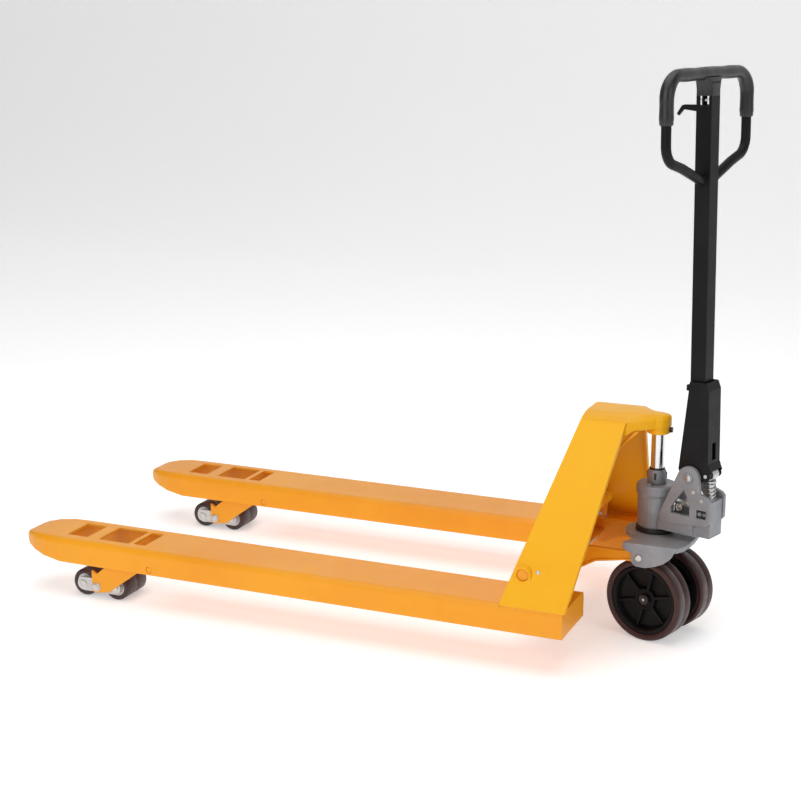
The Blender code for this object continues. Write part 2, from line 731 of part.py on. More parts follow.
TANDEM_ORIGIN = (TANDEM_PIVOT[0], FORK_Y, TANDEM_PIVOT[1])
both(make_rod_pin, "rod_pin", "zinc", (-1.053, FORK_Y, ROD_Z))
both(lambda: make_tandem(0.0435), "link_outer", "steel", TANDEM_ORIGIN)
both(lambda: make_tandem(-0.0485), "link_inner", "steel", TANDEM_ORIGIN)
both(make_tandem_pin, "tandem_pin", "steel", TANDEM_ORIGIN)
for place, sign in (("front", -1.0), ("rear", 1.0)):
    roller_x = TANDEM_PIVOT[0] + sign * ROLLER_PITCH / 2.0
    both(lambda at=roller_x: make_roller(at), "load_roller_" + place, "tread",
         (roller_x, FORK_Y, TANDEM_PIVOT[1]))
    both(lambda at=roller_x: make_roller_axle(at), "roller_axle_" + place, "steel", TANDEM_ORIGIN)


# --------------------------------------------------------- ram, pump, wheels
ram = cylinder((0.0, 0.0, 0.0), RAM_R, 0.250, 0.470, "Z", 40, 0.002)
finish(ram, "ram", "chrome", holder=STEER)


def make_pump():
    """Pump casting: cylinder, neck, axle lug, rear block and two ears."""
    body = lathe([(0.0, 0.2365), (0.036, 0.2365), (0.0375, 0.240), (0.0395, 0.306), (0.0425, 0.312),
                  (0.0425, 0.327), (0.040, 0.3305), (0.0, 0.3305)], (0.0, 0.0, 0.0), "Z", 48)
    join(body, cylinder((0.0, 0.0, 0.0), 0.0205, 0.120, 0.200, "Z", 40))
    join(body, cylinder((0.0, 0.0, 0.0), 0.0240, 0.184, 0.238, "Z", 40))
    lug = slot_outline((WHEEL_X, 0.090), (0.004, 0.150), 0.024, 10)
    join(body, prism(lug, -0.0205, 0.0205))
    join(body, box((0.022, -0.0270, 0.2392), (0.1110, 0.0270, 0.2612)))
    join(body, box((0.104, -0.0250, 0.2405), (0.1435, 0.0250, 0.3180)))
    tx, tz = TILT
    ear = arc(tx, tz, 0.0245, 160.0, 0.0, 14) + [(0.122, 0.336), (0.1395, 0.3295), (0.1455, 0.3225)]
    ear += [(0.1455, 0.276), (0.1395, 0.269), (0.114, 0.2655), (0.030, 0.2585), (0.030, 0.280)]
    window = [(0.084, 0.340), (0.100, 0.312), (0.100, 0.283), (0.056, 0.283), (0.056, 0.297)]
    for s in (-1.0, 1.0):
        a, b = sorted((s * 0.0264, s * 0.0360))
        flank = prism(ear, a, b)
        a, b = sorted((s * 0.02, s * 0.05))
        cut(flank, prism(window, a, b))
        a, b = sorted((s * 0.0235, s * 0.0352))
        foot = box((0.0265, a, 0.2420), (0.1085, b, 0.2660))
        join(flank, foot)
        join(body, flank)
        a, b = sorted((s * 0.0240, s * 0.0300))
        join(body, box((0.1130, a, 0.2730), (0.1410, b, 0.3140)))
    cut(body, cylinder((0.0, 0.0, 0.0), 0.0148, 0.188, 0.35, "Z", 40))
    cut(body, pin(WHEEL_X, 0.090, AXLE_R + GAP, -0.03, 0.03, 0.0, 28))
    cut(body, pin(tx, tz, 0.011 + GAP, -0.05, 0.05, 0.0, 32))
    cut(body, cylinder((PISTON_X, 0.0, 0.0), 0.0130, 0.300, 0.33, "Z", 28))
    cut(body, cylinder((PISTON_X, 0.0, 0.0), 0.0080 + GAP, 0.246, 0.31, "Z", 28))
    cut(body, pin(0.076, 0.300, 0.003 + GAP, -0.05, 0.05, 0.0, 20))
    cut(body, cylinder((0.054, 0.0, 0.0), 0.0060 + GAP, 0.250, 0.28, "Z", 24))
    cut(body, box((0.1165, -0.0500, 0.2835), (0.1385, -0.0300, 0.3020)))
    join(body, cylinder((0.0, -0.0310, 0.0), 0.0060, 0.3290, 0.3350, "Z", 6))
    return body


finish(make_pump(), "pump_housing", "grey", holder=STEER)
nut_profile = [(0.0150, 0.3308), (0.0205, 0.3308), (0.0205, 0.3520), (0.0185, 0.3600),
               (0.0165, 0.3620), (0.0150, 0.3620)]
nut = lathe(nut_profile, (0.0, 0.0, 0.0), "Z", 36)
finish(nut, "gland_nut", "grey", holder=STEER)
axle = pin(WHEEL_X, 0.090, AXLE_R, -0.0700, 0.0700, 0.0012, 28)
finish(axle, "wheel_axle", "steel", (WHEEL_X, 0.0, 0.090), STEER)


def make_hub():
    """Ribbed hub of a steering wheel with recessed faces."""
    mid = WHEEL_GAP / 2.0 + WHEEL_WIDTH / 2.0
    profile = [(AXLE_R + GAP, -0.0215), (0.0235, -0.0215), (0.0235, -0.006), (0.062, -0.006),
               (0.066, -0.0225), (0.0757, -0.0225), (0.0757, 0.0225), (0.066, 0.0225),
               (0.062, 0.006), (0.0235, 0.006), (0.0235, 0.0150), (AXLE_R + GAP, 0.0150)]
    hub = lathe(profile, (WHEEL_X, mid, 0.090), "Y", 56)
    for i in range(6):
        t = math.radians(60.0 * i + 15.0)
        c, s = math.cos(t), math.sin(t)
        for y0, y1 in ((-0.016, -0.004), (0.004, 0.013)):
            rings = []
            for y in (y0, y1):
                ring = []
                for u, v in ((0.020, -0.0030), (0.066, -0.0022), (0.066, 0.0022), (0.020, 0.0030)):
                    ring.append((WHEEL_X + u * c - v * s, mid + y, 0.090 + u * s + v * c))
                rings.append(ring)
            join(hub, rings_to_object(rings, "rib"))
    return hub


def make_tyre():
    """Moulded tread of a steering wheel."""
    mid = WHEEL_GAP / 2.0 + WHEEL_WIDTH / 2.0
    h = WHEEL_WIDTH / 2.0
    r = WHEEL_R
    profile = [(0.0760, -h + 0.002), (0.080, -h), (r - 0.0060, -h), (r - 0.0018, -h + 0.0018),
               (r, -h + 0.006), (r, h - 0.006), (r - 0.0018, h - 0.0018), (r - 0.0060, h), (0.080, h),
               (0.0760, h - 0.002)]
    return lathe(profile, (WHEEL_X, mid, 0.090), "Y", 78)


WHEEL_MID = WHEEL_GAP / 2.0 + WHEEL_WIDTH / 2.0
for side, sign in SIDES:
    for make, label, look in ((make_hub, "steer_hub", "black"),
                              (make_tyre, "steer_tyre", "tread")):
        shape = make()
        if sign < 0.0:
            far_shape = shape
            shape = mirrored(far_shape)
            bpy.data.objects.remove(far_shape, do_unlink=True)
        finish(shape, label + "_" + side, look, (WHEEL_X, sign * WHEEL_MID, 0.090), STEER)

# pump piston, its spring and the release gear
piston = cylinder((PISTON_X, 0.0, 0.0), 0.0080, 0.2900, 0.3560, "Z", 28, 0.001)
join(piston, cylinder((PISTON_X, 0.0, 0.0), 0.0118, 0.3550, 0.3597, "Z", 28, 0.0008))
finish(piston, "pump_piston", "steel", (PISTON_X, 0.0, 0.3550), STEER)


def make_spring():
    """Coil spring between the block and the piston cap."""
    turns = 6.0
    low, high = 0.3022, 0.3530
    steps = 60
    rings = []
    for i in range(steps + 1):
        t = 2.0 * math.pi * turns * i / steps
        z = low + (high - low) * i / steps
        out = Vector((math.cos(t), math.sin(t), 0.0))
        ring = []
        for j in range(6):
            a = 2.0 * math.pi * j / 6
            p = out * (0.0103 + 0.0015 * math.cos(a)) + Vector((0.0, 0.0, 0.0015 * math.sin(a)))
            ring.append(p + Vector((PISTON_X, 0.0, z)))
        rings.append(ring)
    return rings_to_object(rings, "spring")


finish(make_spring(), "piston_spring", "zinc", (PISTON_X, 0.0, 0.3007), STEER)
lever = prism([(0.049, 0.2975), (0.100, 0.2975), (0.100, 0.3025), (0.049, 0.3025)], -0.0080, 0.0080)
join(lever, pin(0.076, 0.300, 0.0055, -0.0080, 0.0080, 0.0, 20))
join(lever, pin(0.076, 0.300, 0.0030, -0.0350, 0.0350, 0.0, 20))
finish(lever, "release_lever", "zinc", (0.076, 0.0, 0.300), STEER)
valve = cylinder((0.054, 0.0, 0.0), 0.0060, 0.2505, 0.2620, "Z", 24)
join(valve, cylinder((0.054, 0.0, 0.0), 0.0085, 0.2624, 0.2700, "Z", 6))
join(valve, cylinder((0.054, 0.0, 0.0), 0.0060, 0.2610, 0.2640, "Z", 24))
join(valve, cylinder((0.054, 0.0, 0.0), 0.0040, 0.2690, 0.2930, "Z", 20))
finish(valve, "release_valve", "zinc", holder=STEER)


# ---------------------------------------------------------------- the handle
def make_drawbar():
    """Square tube on a flared foot that turns on the hinge shaft."""
    c = TUBE_X
    h = TUBE_HALF
    tube = box((c - h, -h, 0.470), (c + h, h, TUBE_TOP))
    cut(tube, box((c - h + 0.003, -h + 0.003, 0.46), (c + h - 0.003, h - 0.003, TUBE_TOP + 0.01)))
    tx, tz = TILT
    side = [(0.088, 0.568), (0.126, 0.568), (0.132, 0.552), (0.133, 0.398), (0.140, 0.379)]
    side += arc(0.128, 0.372, 0.0105, 30.0, -110.0, 8)
    side += arc(tx, tz, 0.0215, -50.0, -170.0, 8) + [(0.0650, 0.380)]
    foot = prism(side, -0.0255, 0.0255)
    hollow = [(0.0920, 0.580), (0.1225, 0.580), (0.1290, 0.550), (0.1290, 0.390), (0.150, 0.376),
              (0.150, 0.340), (0.050, 0.340), (0.050, 0.383), (0.0695, 0.383)]
    cut(foot, prism(hollow, -0.0215, 0.0215))
    collar = box((c - h - 0.006, -0.0220, 0.548), (c + h + 0.006, 0.0220, 0.560))
    join(foot, pin(tx, tz, 0.0180, -0.0220, 0.0220, 0.0, 32))
    join(tube, collar)
    join(foot, tube)
    cut(foot, box((c - h + 0.003, -h + 0.003, 0.46), (c + h - 0.003, h - 0.003, 0.60)))
    join(foot, box((0.0720, -0.0222, 0.440), (0.0880, 0.0222, 0.446)))
    cut(foot, pin(tx, tz, 0.0110 + GAP, -0.05, 0.05, 0.0, 32))
    cut(foot, pin(0.128, 0.372, 0.0040 + GAP, -0.05, 0.05, 0.0, 24))
    cut(foot, box((0.0905, -0.03, 1.126), (0.1125, 0.03, 1.150)))
    cut(foot, box((0.07, -0.0055, 1.086), (0.095, 0.0055, 1.150)))
    cut(foot, pin(LEVER_PIVOT[0], LEVER_PIVOT[1], 0.003 + GAP, -0.03, 0.03, 0.0, 20))
    cut(foot, box((0.125, -0.0075, 0.404), (0.140, 0.0075, 0.440)))
    cut(foot, cylinder((tx, 0.0, 0.0), 0.0045, 0.340, 0.395, "Z", 20))
    return foot


def in_handle(obj, name, look, origin=(0.0, 0.0, 0.0)):
    """Finish a piece that tilts with the drawbar."""
    if origin == (0.0, 0.0, 0.0):
        origin = (TILT[0], 0.0, TILT[1])
    return finish(obj, name, look, origin, HANDLE)


in_handle(make_drawbar(), "drawbar", "black")


def loop_path():
    """Centre line of the handle loop from the near to the far tube joint."""
    half = [(0.0175, 0.9760), (0.100, 1.0080)]
    half += arc(0.122, 1.0560, 0.040, -66.0, 0.0, 7)
    half += [(LOOP_HALF, 1.0900), (LOOP_HALF, 1.0950)]
    half += [(LOOP_HALF, LOOP_TOP - 0.045)]
    half += arc(LOOP_HALF - 0.045, LOOP_TOP - 0.045, 0.045, 12.0, 90.0, 8)
    near = [(TUBE_X, -y, z) for y, z in half]
    far = [(TUBE_X, y, z) for y, z in reversed(half)]
    return near + far


def make_loop():
    """Bent round tube of the handle loop."""
    path = loop_path()
    loop = sweep(path, [LOOP_R] * len(path), 14)
    for s in (-1.0, 1.0):
        a, b = sorted((s * 0.0100, s * (TUBE_HALF + GAP)))
        cut(loop, box((0.07, a, 0.95), (0.13, b, 1.02)))
    return loop


def make_grip():
    """Moulded cover over the top and both upper sides of the loop."""
    path = [p for p in loop_path() if p[2] > 1.0940]
    last = len(path) - 1
    outer = []
    for i in range(len(path)):
        near_end = min(i, last - i)
        outer.append(GRIP_R if near_end > 0 else GRIP_R - 0.0015)
    grip = sweep(path, outer, 16)
    longer = [(p[0], p[1], p[2]) for p in path]
    longer[0] = (longer[0][0], longer[0][1], longer[0][2] - 0.01)
    longer[-1] = (longer[-1][0], longer[-1][1], longer[-1][2] - 0.01)
    cut(grip, sweep(longer, [LOOP_R + GAP] * len(longer), 14))
    return grip


in_handle(make_loop(), "handle_loop", "black")
in_handle(make_grip(), "handle_grip", "rubber")
shaft = pin(TILT[0], TILT[1], 0.0110, -0.0378, 0.0378, 0.001, 32)
cut(shaft, cylinder((TILT[0], 0.0, 0.0), 0.0036, 0.340, 0.395, "Z", 20))
in_handle(shaft, "hinge_shaft", "zinc")
roller_profile = [(0.0, -0.0260), (0.0040, -0.0260), (0.0040, -0.0120), (0.0120, -0.0120),
                  (0.0120, 0.0120), (0.0040, 0.0120), (0.0040, 0.0260), (0.0, 0.0260)]
roller = lathe(roller_profile, (0.128, 0.0, 0.372), "Y", 32)
in_handle(roller, "pressure_roller", "steel", (0.128, 0.0, 0.372))
lx, lz = LEVER_PIVOT
outline = [(lx + 0.007, lz - 0.006), (lx + 0.007, lz + 0.006), (0.0760, 1.1260), (0.050, 1.1260),
           (0.0440, 1.1240), (0.0330, 1.1080), (0.0370, 1.1040), (0.0480, 1.1165), (0.0760, 1.1130)]
control = prism(outline, -0.0030, 0.0030)
join(control, pin(lx, lz, 0.003, -0.0185, 0.0185, 0.0004, 20))
cut(control, box((0.0900, -0.01, 1.108), (0.0975, 0.01, 1.1165)))
in_handle(control, "control_lever", "black", (lx, 0.0, lz))
rod = cylinder((TILT[0], 0.0, 0.0), 0.0022, 0.3500, 1.1145, "Z", 16)
in_handle(rod, "control_rod", "zinc")
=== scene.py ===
"""Looks of the hand pallet truck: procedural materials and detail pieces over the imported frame.

Shapes are drawn in metres in design coordinates, with the ram axis at X = 0 and the steering
straight.  PLAIN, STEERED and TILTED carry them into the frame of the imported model.
"""
import math

import bmesh
import bpy
from mathutils import Matrix, Vector


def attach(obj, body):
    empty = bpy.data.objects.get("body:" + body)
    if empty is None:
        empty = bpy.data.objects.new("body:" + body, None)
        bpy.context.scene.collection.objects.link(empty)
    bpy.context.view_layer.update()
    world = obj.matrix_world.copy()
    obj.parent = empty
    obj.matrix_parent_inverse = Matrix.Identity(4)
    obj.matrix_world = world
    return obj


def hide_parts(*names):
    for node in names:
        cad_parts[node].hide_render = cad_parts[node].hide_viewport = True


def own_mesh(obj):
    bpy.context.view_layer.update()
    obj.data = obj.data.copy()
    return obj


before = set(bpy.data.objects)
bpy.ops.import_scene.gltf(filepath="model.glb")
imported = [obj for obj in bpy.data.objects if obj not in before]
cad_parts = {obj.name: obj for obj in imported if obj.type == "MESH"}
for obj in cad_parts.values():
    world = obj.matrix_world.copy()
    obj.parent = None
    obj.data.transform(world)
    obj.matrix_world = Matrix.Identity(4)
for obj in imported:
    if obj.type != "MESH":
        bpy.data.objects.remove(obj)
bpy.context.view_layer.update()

# ------------------------------------------------------------------ placing
RAM_X = 0.6251
STEER_REST = math.radians(-16.0)
HANDLE_LEAN = math.radians(-1.46)
TILT = Vector((0.094, 0.0, 0.366))
FORK_Y = 0.272
SHAFT = (-0.194, 0.196)
TANDEM_PIVOT = (-1.203, 0.031)
ROLLER_XS = {"front": -1.2445, "rear": -1.1615}
ROD_Z = 0.126
PISTON_X = 0.128
WHEEL_X, WHEEL_Z = 0.018, 0.090
WHEEL_MID = 0.049
TUBE_X, TUBE_HALF = 0.1015, 0.017
TUBE_WELD_Z = 0.5612
LOOP_HALF, LOOP_TOP = 0.162, 1.187
LOOP_JOINT_Z = 0.9762
GRIP_END_Z = 1.0941
RELEASE_AXIS = (0.076, 0.300)
POCKET_SCREW_Z = 0.2928
ARM_OUTER_Y = 0.0968
WHEEL_HALF = 0.0250

PLAIN = Matrix.Translation((RAM_X, 0.0, 0.0))
STEERED = PLAIN @ Matrix.Rotation(STEER_REST, 4, "Z")
TILTED = STEERED @ Matrix.Translation(TILT) @ Matrix.Rotation(HANDLE_LEAN, 4, "Y")
TILTED = TILTED @ Matrix.Translation(-TILT)
SIDES = (("near", -1.0), ("far", 1.0))


# ---------------------------------------------------------------- materials
def put(tree, kind, inputs=None, **settings):
    """Add a node; inputs hold plain values or sockets to link."""
    made = tree.nodes.new(kind)
    for key, value in settings.items():
        setattr(made, key, value)
    for key, value in (inputs or {}).items():
        if isinstance(value, bpy.types.NodeSocket):
            tree.links.new(value, made.inputs[key])
        else:
            made.inputs[key].default_value = value
    return made


def noise(tree, where, scale, detail=3.0, roughness=0.55):
    """Noise value at a place."""
    inputs = {"Vector": where, "Scale": scale, "Detail": detail, "Roughness": roughness}
    return put(tree, "ShaderNodeTexNoise", inputs).outputs["Fac"]


def remap(tree, value, low, high, to_low=0.0, to_high=1.0):
    """Value stretched from one range to another, held at its ends."""
    inputs = {0: value, 1: low, 2: high, 3: to_low, 4: to_high}
    return put(tree, "ShaderNodeMapRange", inputs).outputs[0]


def times(tree, a, b):
    """Product of two values."""
    return put(tree, "ShaderNodeMath", {0: a, 1: b}, operation="MULTIPLY").outputs[0]


def plus(tree, a, b):
    """Sum of two values, held between 0 and 1."""
    made = put(tree, "ShaderNodeMath", {0: a, 1: b}, operation="ADD", use_clamp=True)
    return made.outputs[0]


def tint(tree, factor, a, b):
    """Mix of two colours, given as triples or sockets."""
    colours = {0: factor}
    for index, colour in ((6, a), (7, b)):
        is_plain = not isinstance(colour, bpy.types.NodeSocket)
        colours[index] = (*colour, 1.0) if is_plain else colour
    return put(tree, "ShaderNodeMix", colours, data_type="RGBA").outputs[2]


def surface(name, base, shade, rough, metallic=0.0, coat=0.0, mottle=7.0, grain=(900.0, 0.10),
            peel=(170.0, 0.10), wear=None, worn=0.0, dust=0.0, edge=0.0012, rings=None,
            scratch=0.0, cells=None, specular=0.5):
    """One Principled material with mottling, grain, peel, edge wear, dust and scratches."""
    mat = bpy.data.materials.new(name)
    mat.use_nodes = True
    tree = mat.node_tree
    shader = tree.nodes["Principled BSDF"]
    where = put(tree, "ShaderNodeTexCoord").outputs["Object"]
    geometry = put(tree, "ShaderNodeNewGeometry").outputs["Normal"]
    rounded = put(tree, "ShaderNodeBevel", {"Radius": edge}, samples=6).outputs["Normal"]

    broad = noise(tree, where, mottle, 5.0, 0.6)
    colour = tint(tree, remap(tree, broad, 0.36, 0.64), base, shade)
    dots = put(tree, "ShaderNodeVectorMath", {0: geometry, 1: rounded}, operation="DOT_PRODUCT")
    edges = remap(tree, dots.outputs["Value"], 0.995, 0.86)
    chips = remap(tree, noise(tree, where, 140.0, 4.0, 0.7), 0.50, 0.62)
    bare = times(tree, times(tree, edges, chips), worn)
    if wear:
        colour = tint(tree, bare, colour, wear)
    split = put(tree, "ShaderNodeSeparateXYZ", {0: geometry})
    upward = remap(tree, split.outputs["Z"], 0.55, 0.98)
    film = times(tree, times(tree, upward, remap(tree, noise(tree, where, 23.0, 6.0), 0.4, 0.7)), dust)
    colour = tint(tree, film, colour, (0.50, 0.46, 0.40))
    tree.links.new(colour, shader.inputs["Base Color"])

    cloudy = noise(tree, where, mottle * 4.3, 6.0, 0.65)
    dull = remap(tree, cloudy, 0.30, 0.70, rough[0], rough[1])
    dull = plus(tree, dull, times(tree, film, 0.35))
    dull = plus(tree, dull, times(tree, bare, 0.15))
    normal = rounded
    if scratch:
        squash = put(tree, "ShaderNodeMapping", {"Vector": where, "Scale": (60.0, 900.0, 900.0)})
        lines = remap(tree, noise(tree, squash.outputs[0], 1.0, 2.0), 0.60, 0.68)
        dull = plus(tree, dull, times(tree, lines, scratch))
        inputs = {"Strength": scratch, "Distance": 0.0001, "Height": lines, "Normal": normal}
        normal = put(tree, "ShaderNodeBump", inputs, invert=True).outputs[0]
    tree.links.new(dull, shader.inputs["Roughness"])
    layers = [(noise(tree, where, peel[0], 2.0, 0.5), peel[1], 0.0008),
              (noise(tree, where, grain[0], 2.0, 0.6), grain[1], 0.0003)]
    if rings:
        band = put(tree, "ShaderNodeTexWave", {"Vector": where, "Scale": rings[0], "Distortion": 0.6},
                   bands_direction=rings[1]).outputs["Fac"]
        layers.append((band, 0.12, 0.0002))
    if cells:
        patch = put(tree, "ShaderNodeTexVoronoi", {"Vector": where, "Scale": cells[0]})
        layers.append((patch.outputs["Distance"], cells[1], 0.0004))
    for height, strength, distance in layers:
        inputs = {"Strength": strength, "Distance": distance, "Height": height, "Normal": normal}
        normal = put(tree, "ShaderNodeBump", inputs).outputs[0]
    tree.links.new(normal, shader.inputs["Normal"])
    shader.inputs["Metallic"].default_value = metallic
    shader.inputs["Coat Weight"].default_value = coat
    shader.inputs["Coat Roughness"].default_value = 0.12
    shader.inputs["Specular IOR Level"].default_value = specular
    return mat


YELLOW = surface("yellow_enamel", (0.95, 0.470, 0.006), (0.93, 0.430, 0.005), (0.34, 0.46), coat=0.05,
                 mottle=5.0, grain=(1100.0, 0.05), peel=(230.0, 0.14), wear=(0.98, 0.60, 0.16),
                 worn=0.55, dust=0.03, edge=0.0022, scratch=0.08, specular=0.22)
ORANGE = surface("orange_enamel", (0.93, 0.375, 0.010), (0.89, 0.330, 0.008), (0.30, 0.42), coat=0.08,
                 mottle=5.0, grain=(1100.0, 0.05), peel=(230.0, 0.14), wear=(0.98, 0.56, 0.16),
                 worn=0.55, dust=0.05, edge=0.0022, scratch=0.10, specular=0.30)
GREY = surface("grey_casting", (0.30, 0.305, 0.325), (0.235, 0.24, 0.26), (0.38, 0.55), metallic=0.25,
               mottle=16.0, grain=(1000.0, 0.30), peel=(340.0, 0.55), wear=(0.52, 0.52, 0.53),
               worn=0.6, dust=0.12, edge=0.0022)
BLACK = surface("black_enamel", (0.0075, 0.0075, 0.0085), (0.012, 0.0115, 0.012), (0.34, 0.46),
                coat=0.04, mottle=9.0, grain=(1300.0, 0.06), peel=(260.0, 0.14),
                wear=(0.07, 0.07, 0.073), worn=0.4, dust=0.0, edge=0.0016, scratch=0.06,
                specular=0.12)
GRIP = surface("grip_moulding", (0.012, 0.012, 0.013), (0.020, 0.019, 0.020), (0.26, 0.40),
               mottle=22.0, grain=(1900.0, 0.20), peel=(420.0, 0.12), worn=0.0, dust=0.05, edge=0.001,
               cells=(1500.0, 0.18))
NYLON = surface("hub_nylon", (0.0040, 0.0040, 0.0043), (0.0070, 0.0068, 0.0070), (0.36, 0.54),
                mottle=30.0, grain=(1500.0, 0.16), peel=(300.0, 0.16), wear=(0.03, 0.029, 0.029),
                worn=0.3, dust=0.0, edge=0.0012, specular=0.14)
TREAD = surface("maroon_tread", (0.052, 0.016, 0.015), (0.034, 0.012, 0.011), (0.28, 0.46), coat=0.06,
                mottle=18.0, grain=(1200.0, 0.12), peel=(260.0, 0.22), wear=(0.18, 0.08, 0.075),
                worn=0.35, dust=0.03, edge=0.0015, scratch=0.12, specular=0.35)
DARK_TREAD = surface("dark_tread", (0.046, 0.014, 0.016), (0.028, 0.011, 0.012), (0.30, 0.50),
                     coat=0.10, mottle=40.0, grain=(1200.0, 0.14), peel=(300.0, 0.25),
                     wear=(0.15, 0.09, 0.08), worn=0.4, dust=0.12, edge=0.001, scratch=0.15)
STEEL = surface("turned_steel", (0.60, 0.60, 0.61), (0.50, 0.50, 0.51), (0.22, 0.38), metallic=1.0,
                mottle=60.0, grain=(1400.0, 0.08), peel=(500.0, 0.05), wear=(0.80, 0.80, 0.80),
                worn=0.5, dust=0.04, edge=0.0008, rings=(420.0, "Y"), scratch=0.10)
CHROME = surface("hard_chrome", (0.80, 0.80, 0.82), (0.70, 0.70, 0.72), (0.17, 0.26), metallic=1.0,
                 mottle=14.0, grain=(2400.0, 0.02), peel=(700.0, 0.02), edge=0.0008, scratch=0.04)
ZINC = surface("zinc_plate", (0.66, 0.66, 0.63), (0.52, 0.52, 0.48), (0.24, 0.46), metallic=0.95,
               mottle=90.0, grain=(1500.0, 0.12), peel=(420.0, 0.12), wear=(0.85, 0.85, 0.83),
               worn=0.5, dust=0.05, edge=0.0009)
LIGHT_CAP = surface("light_cap", (0.66, 0.66, 0.65), (0.54, 0.54, 0.53), (0.26, 0.42), metallic=0.35,
                    mottle=90.0, grain=(1500.0, 0.10), peel=(420.0, 0.10), wear=(0.85, 0.85, 0.83),
                    worn=0.5, dust=0.10, edge=0.0008)
DARK_STEEL = surface("blackened_steel", (0.030, 0.030, 0.032), (0.050, 0.048, 0.046), (0.34, 0.5),
                     metallic=0.7, mottle=50.0, grain=(1500.0, 0.15), peel=(400.0, 0.12),
                     wear=(0.28, 0.28, 0.28), worn=0.6, edge=0.0008)

NODE_LOOKS = ((ORANGE, ("fork_", "bulkhead", "head_gusset", "rocker", "wheel_frame", "frame_pin")),
              (YELLOW, ("side_plate", "head_bracket")),
              (ZINC, ("yoke_pin",)),
              (GREY, ("yoke", "pump_housing", "gland_nut", "hinge_shaft")),
              (BLACK, ("drawbar", "handle_loop", "control_lever")),
              (DARK_STEEL, ("head_screw", "thrust_ring")),
              (GRIP, ("handle_grip", "entry_roller")),
              (NYLON, ("steer_hub",)),
              (TREAD, ("steer_tyre",)),
              (DARK_TREAD, ("load_roller",)),
              (CHROME, ("ram",)),
              (STEEL, ("tandem_pin", "roller_axle", "wheel_axle", "pump_piston",
                       "pressure_roller")),
              (LIGHT_CAP, ("link_",)),
              (ZINC, ("push_rod", "lever_pin", "rod_pin", "release",
                      "control_rod", "piston_spring")))
for cad_name, cad_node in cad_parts.items():
    look = next(look for look, starts in NODE_LOOKS if cad_name.startswith(starts))
    cad_node.data.materials.clear()
    cad_node.data.materials.append(look)


# ------------------------------------------------------------- mesh helpers
def soft(outline, radius, steps=4):
    """Round every corner of a closed outline of (a, b) pairs."""
    points = []
    count = len(outline)
    for i in range(count):
        here = Vector(outline[i])
        before = Vector(outline[i - 1]) - here
        after = Vector(outline[(i + 1) % count]) - here
        reach = min(radius, before.length * 0.45, after.length * 0.45)
        start = here + before.normalized() * reach
        end = here + after.normalized() * reach
        for j in range(steps + 1):
            t = j / steps
            points.append(start * (1.0 - t) ** 2 + here * 2.0 * t * (1.0 - t) + end * t * t)
    return [(p[0], p[1]) for p in points]


def turn(bm, profile, centre, axis="Y", segments=64, look=0):
    """Turn a closed (radius, height) outline about an axis through centre."""
    rows = []
    for i in range(segments):
        t = 2.0 * math.pi * i / segments
        row = []
        for r, h in profile:
            a, b = max(r, 0.00002) * math.cos(t), max(r, 0.00002) * math.sin(t)
            offset = {"X": (h, a, b), "Y": (a, h, b), "Z": (a, b, h)}[axis]
            row.append(bm.verts.new(Vector(centre) + Vector(offset)))
        rows.append(row)
    for i in range(segments):
        a, b = rows[i], rows[(i + 1) % segments]
        for j in range(len(profile)):
            k = (j + 1) % len(profile)
            bm.faces.new((a[j], a[k], b[k], b[j])).material_index = look


def extrude(bm, outline, low, high, axis="Y", look=0):
    """Extrude an outline: Y takes (x, z), X takes (y, z), Z takes (x, y)."""
    rows = []
    for c in (low, high):
        place = {"Y": lambda a, b: (a, c, b), "X": lambda a, b: (c, a, b), "Z": lambda a, b: (a, b, c)}
        rows.append([bm.verts.new(place[axis](a, b)) for a, b in outline])
    count = len(outline)
    for i in range(count):
        j = (i + 1) % count
        bm.faces.new((rows[0][i], rows[0][j], rows[1][j], rows[1][i])).material_index = look
    for row in rows:
        bm.faces.new(row).material_index = look


def ngon(centre, radius, count=6, spin=0.0):
    """Corner points of a regular polygon."""
    angles = [spin + 2.0 * math.pi * i / count for i in range(count)]
    return [(centre[0] + radius * math.cos(t), centre[1] + radius * math.sin(t)) for t in angles]


def sweep(bm, path, radii, segments=16, look=0):
    """Round bar along a path, with closed ends."""
    side = None
    rows = []
    for i, p in enumerate(path):
        along = (Vector(path[min(i + 1, len(path) - 1)]) - Vector(path[max(i - 1, 0)])).normalized()
        if side is None:
            side = along.orthogonal().normalized()
        side = (side - along * side.dot(along)).normalized()
        other = along.cross(side)
        row = []
        for j in range(segments):
            t = 2.0 * math.pi * j / segments
            row.append(bm.verts.new(Vector(p) + (side * math.cos(t) + other * math.sin(t)) * radii[i]))
        rows.append(row)
    for a, b in zip(rows, rows[1:]):
        for j in range(segments):
            k = (j + 1) % segments
            bm.faces.new((a[j], a[k], b[k], b[j])).material_index = look
    bm.faces.new(rows[0]).material_index = look
    bm.faces.new(rows[-1]).material_index = look


def dense(path, step):
    """Points along straight runs, a step apart."""
    out = []
    for a, b in zip(path, path[1:]):
        a, b = Vector(a), Vector(b)
        count = max(1, round((b - a).length / step))
        out += [a.lerp(b, i / count) for i in range(count)]
    return out + [Vector(path[-1])]


def weld(bm, path, radius):
    """Rippled weld bead."""
    points = dense(path, 0.0016)
    last = len(points) - 1
    radii = []
    for i in range(len(points)):
        taper = min(1.0, 0.35 + 0.22 * min(i, last - i))
        radii.append(radius * taper * (1.0 + 0.14 * math.sin(i * 2.1) + 0.06 * math.sin(i * 0.63)))
    sweep(bm, points, radii, 10)


def arc(cx, cy, radius, start, end, steps):
    """Points on an arc, angles in degrees."""
    out = []
    for i in range(steps + 1):
        t = math.radians(start + (end - start) * i / steps)
        out.append((cx + radius * math.cos(t), cy + radius * math.sin(t)))
    return out


